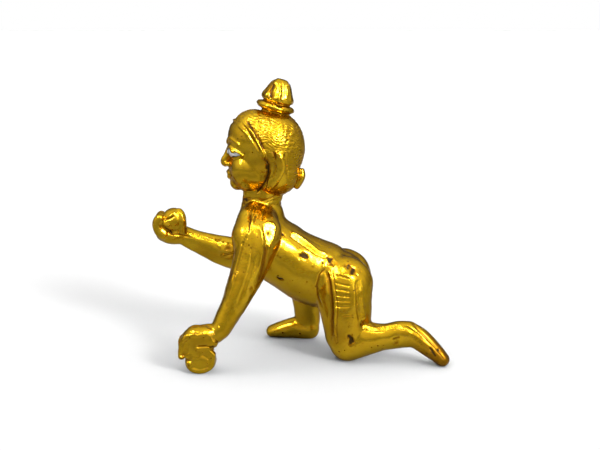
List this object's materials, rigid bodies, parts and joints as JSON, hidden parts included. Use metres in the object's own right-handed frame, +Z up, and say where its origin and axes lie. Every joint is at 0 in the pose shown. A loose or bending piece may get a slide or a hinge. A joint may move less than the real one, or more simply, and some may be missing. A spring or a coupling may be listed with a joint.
{
  "type": "crawling infant deity figurine",
  "caption": "Small cast brass figure of a crawling infant deity with a topknot, one hand raised with a butter ball and one resting on another.",
  "frame": {"origin": "on the resting plane, below the middle of the figure's bounding box", "axes": "+Z up, -Y the way the figure faces and crawls, +X the figure's own left"},
  "size_m": [0.0461, 0.0871, 0.0808],
  "materials": {
    "brass": "hand polished cast brass with darker creases and casting pits, and painted white and black eyes"
  },
  "bodies": {
    "root": {"figure": "brass"}
  },
  "joints": []
}
